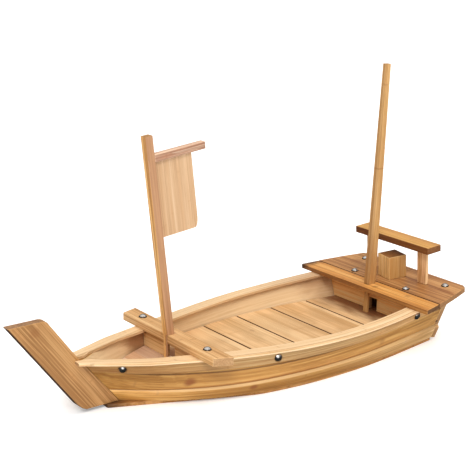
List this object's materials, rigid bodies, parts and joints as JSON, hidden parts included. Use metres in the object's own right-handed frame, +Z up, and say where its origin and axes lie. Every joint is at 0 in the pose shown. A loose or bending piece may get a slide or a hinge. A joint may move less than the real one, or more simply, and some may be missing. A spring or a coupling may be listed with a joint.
{
  "type": "sushi serving tray",
  "caption": "Wooden boat-shaped serving tray: planked hull with a slatted floor, raked stem, crossbeam, two masts with a sail board, stern deck with a bench and block.",
  "frame": {"origin": "centre of the bounding box on the table plane, under the middle of the boat", "axes": "+X along the keel from the bow to the stern, +Y to the far side in the picture, +Z up"},
  "size_m": [0.6, 0.2386, 0.352],
  "materials": {
    "plank": "clear-lacquered light bamboo",
    "rim": "clear-lacquered light bamboo",
    "slat": "clear-lacquered light bamboo",
    "deck": "clear-lacquered light bamboo",
    "mast": "clear-lacquered light bamboo",
    "sail": "clear-lacquered light bamboo",
    "bench": "clear-lacquered light bamboo",
    "under": "clear-lacquered light bamboo",
    "board": "clear-lacquered light bamboo",
    "nail": "polished domed metal"
  },
  "bodies": {
    "root": {"bottom_board": "under", "stem": "board", "lower_plank_left": "plank", "lower_plank_right": "plank", "upper_plank_left": "plank", "upper_plank_right": "plank", "band_left": "plank", "band_right": "plank", "gunwale_left": "rim", "gunwale_right": "rim", "transom": "board", "floor_slat_1": "slat", "floor_slat_2": "slat", "floor_slat_3": "slat", "floor_slat_4": "slat", "floor_slat_5": "slat", "floor_slat_6": "slat", "floor_slat_7": "slat", "floor_slat_8": "slat", "bearer_left": "under", "bearer_right": "under", "bow_floor": "slat", "bow_bulkhead": "board", "bow_beam": "rim", "deck_front_plank": "deck", "stern_bulkhead": "board", "stern_deck": "deck", "bench_post_left": "bench", "bench_post_right": "bench", "bench_top": "bench", "block": "bench", "front_mast": "mast", "yard": "mast", "sail": "sail", "rear_mast": "mast", "side_nails": "nail", "beam_nails": "nail", "deck_nails": "nail"}
  },
  "joints": []
}
